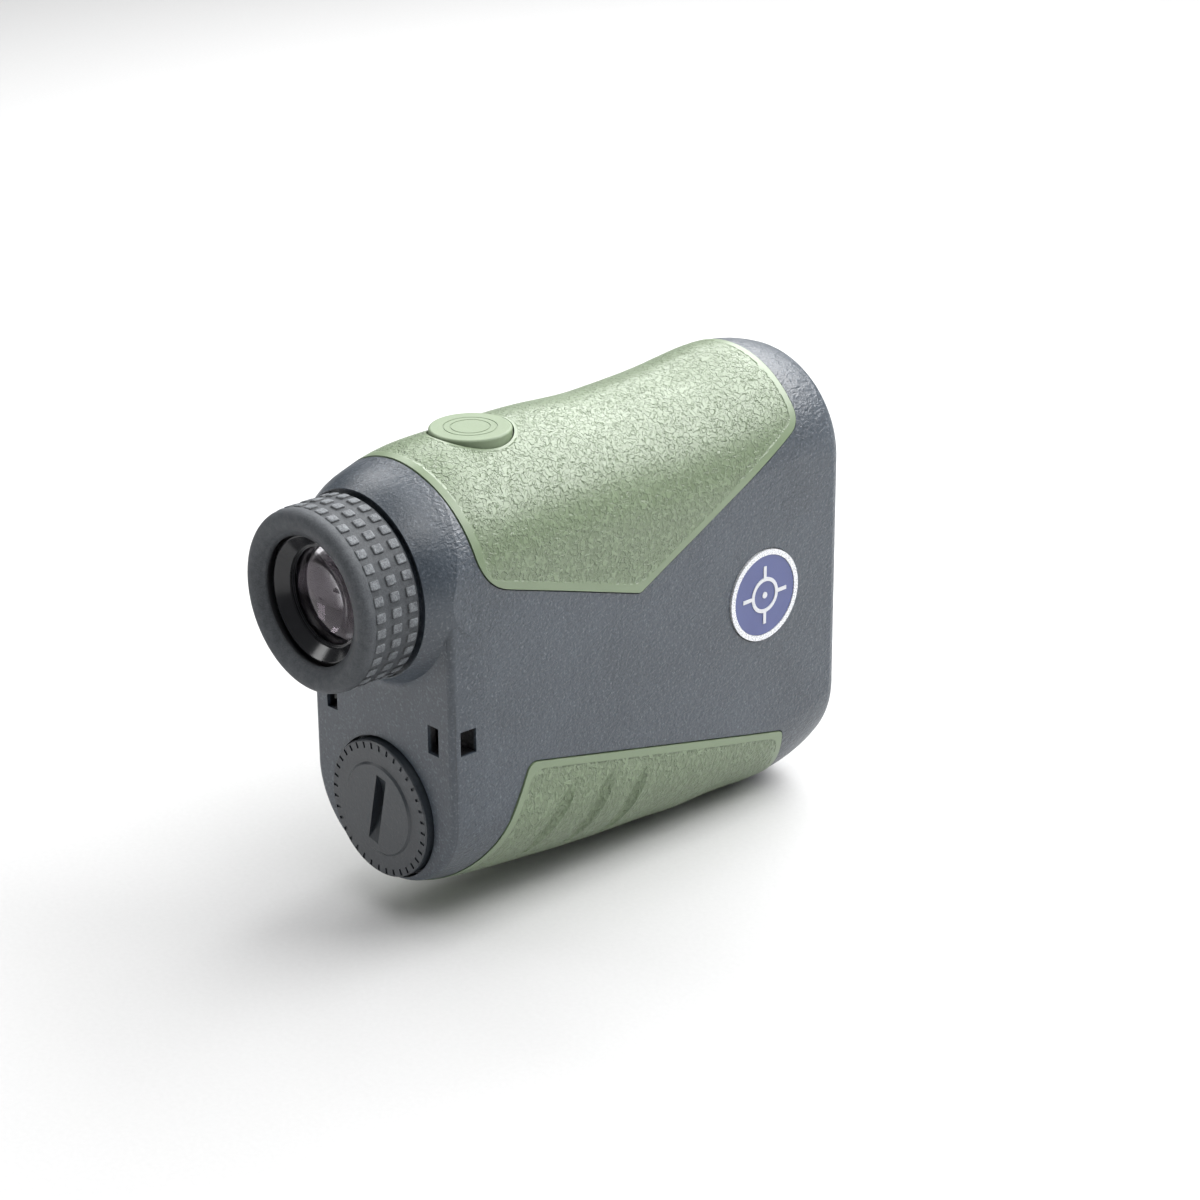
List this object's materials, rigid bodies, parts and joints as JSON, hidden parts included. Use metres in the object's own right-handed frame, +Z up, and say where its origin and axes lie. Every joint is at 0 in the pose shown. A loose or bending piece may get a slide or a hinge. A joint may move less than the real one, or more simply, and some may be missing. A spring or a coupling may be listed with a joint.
{
  "type": "laser rangefinder",
  "caption": "Handheld monocular laser rangefinder: upright plastic housing with rubber grips, a turning eyepiece, a top measure button and a screw-in battery cap.",
  "frame": {"origin": "on the sight line, at the middle of the eyecup's plain rim band", "axes": "+Y along the sight line, away from the eye, which is the longest extent; +Z up through the measure button; +X the instrument's right side, across the narrow width"},
  "size_m": [0.0383, 0.1114, 0.0862],
  "materials": {
    "housing_plastic": "fine spark-eroded texture",
    "grip_rubber": "soft, wrinkled grain",
    "badge_rim": "satin",
    "badge_blue": "printed, clear-coated",
    "badge_mark": "satin",
    "cover_plastic": "fine texture",
    "trim_plastic": "polished",
    "seal_rubber": "smooth",
    "screw_steel": "blackened",
    "black_aluminium": "black anodised",
    "lens_glass": "polished, coated",
    "diode_can": "plated",
    "circuit_board": "solder mask",
    "inner_plastic": "moulded",
    "prism_glass": "polished",
    "spring_steel": "drawn wire",
    "chip_black": "moulded",
    "battery_wrap": "printed sleeve",
    "cap_plastic": "fine spark-eroded texture",
    "contact_metal": "nickel-plated",
    "ring_plastic": "semi-gloss black",
    "eyecup_rubber": "matt",
    "button_plastic": "smooth satin"
  },
  "bodies": {
    "housing": {"main_housing": "housing_plastic", "top_grip": "grip_rubber", "bottom_grip": "grip_rubber", "badge_ring": "badge_rim", "badge_disc": "badge_blue", "badge_symbol": "badge_mark", "front_cover": "cover_plastic", "front_trim": "trim_plastic", "front_gasket": "seal_rubber", "cover_screws": "screw_steel", "objective_cell": "black_aluminium", "objective_front_lens": "lens_glass", "objective_rear_lens": "lens_glass", "objective_retainer": "black_aluminium", "emitter_barrel": "black_aluminium", "emitter_lens": "lens_glass", "emitter_retainer": "black_aluminium", "laser_holder": "black_aluminium", "laser_diode": "diode_can", "laser_board": "circuit_board", "optics_chassis": "inner_plastic", "half_prism": "prism_glass", "roof_prism": "prism_glass", "prism_clip": "spring_steel", "receiver_diode": "diode_can", "receiver_board": "circuit_board", "display_panel": "lens_glass", "display_frame": "inner_plastic", "main_board": "circuit_board", "board_parts": "chip_black", "board_screws": "screw_steel", "battery_tube": "inner_plastic", "battery_spring": "spring_steel", "eyepiece_tube": "black_aluminium", "eyepiece_nut": "black_aluminium", "eyepiece_oring": "seal_rubber", "button_spring": "spring_steel", "tact_switch": "inner_plastic", "button_board": "circuit_board"},
    "diopter": {"diopter_ring": "ring_plastic", "eyecup": "eyecup_rubber"},
    "ocular": {"ocular_cell": "black_aluminium", "eye_lens": "lens_glass", "field_lens": "lens_glass", "lens_spacer": "black_aluminium", "ocular_retainer": "ring_plastic"},
    "cap_plate": {"cap_contact": "contact_metal"},
    "cap": {"battery_cap": "cap_plastic", "cap_oring": "seal_rubber"},
    "cell": {"battery": "battery_wrap"},
    "button": {"measure_button": "button_plastic", "button_clip": "spring_steel", "switch_plunger": "contact_metal"}
  },
  "joints": [
    {"name": "diopter_turn", "type": "hinge", "parent": "housing", "child": "diopter", "pos_m": [0, 0, 0], "axis": [0, 1, 0], "range_deg": [-120, 120]},
    {"name": "ocular_focus", "type": "slide", "parent": "housing", "child": "ocular", "axis": [0, 1, 0], "range_m": [-0.0016, 0.0016]},
    {"name": "cap_pull", "type": "slide", "parent": "housing", "child": "cap_plate", "axis": [0, -1, 0], "range_m": [0, 0.06]},
    {"name": "cap_turn", "type": "hinge", "parent": "cap_plate", "child": "cap", "pos_m": [0, 0.0138, -0.04275], "axis": [0, 1, 0], "range_deg": [-720, 0]},
    {"name": "battery_slide", "type": "slide", "parent": "housing", "child": "cell", "axis": [0, -1, 0], "range_m": [0, 0.03]},
    {"name": "button_press", "type": "slide", "parent": "housing", "child": "button", "axis": [0, 0, -1], "range_m": [0, 0.0006], "stiffness_N_per_m": 1200, "springref_m": -0.0005, "deforming": ["button_spring"]}
  ],
  "couplings": [
    {"joint": "ocular_focus", "follows": "diopter_turn", "m_per_rad": 0.0007162},
    {"joint": "battery_slide", "follows": "cap_pull", "ratio": 0.45}
  ]
}
